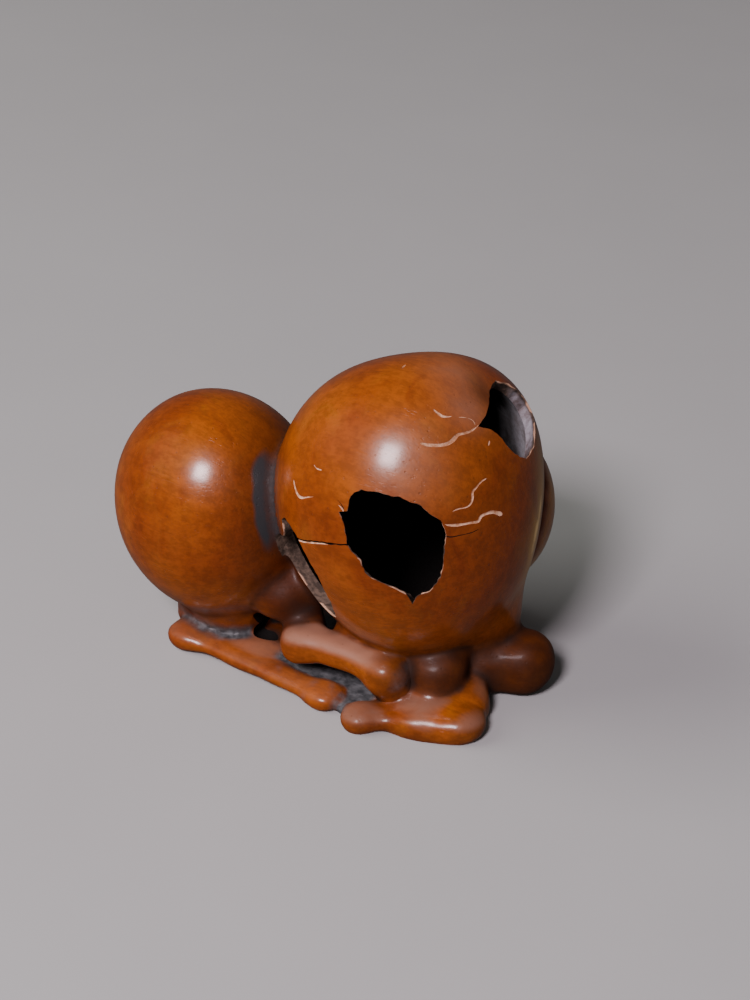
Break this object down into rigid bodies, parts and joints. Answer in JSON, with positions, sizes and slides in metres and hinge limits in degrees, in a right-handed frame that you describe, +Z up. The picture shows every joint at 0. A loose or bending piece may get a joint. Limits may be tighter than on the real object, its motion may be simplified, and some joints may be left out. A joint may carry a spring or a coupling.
{
  "type": "netsuke",
  "caption": "Carved wooden netsuke of two polished rounded domes, one a hollow broken shell, resting on a low bed of knobbed bones.",
  "frame": {"origin": "middle of the netsuke's bounding box, on the surface it rests on", "axes": "+Z up, +X from the small dome to the large one along the long side, the large dome's main hole facing -Y"},
  "size_m": [0.0478, 0.031, 0.0355],
  "materials": {
    "boxwood": "waxed and polished orange-brown boxwood, dark blue-black stain in the hollows"
  },
  "bodies": {
    "root": {"netsuke": "boxwood"}
  },
  "joints": []
}
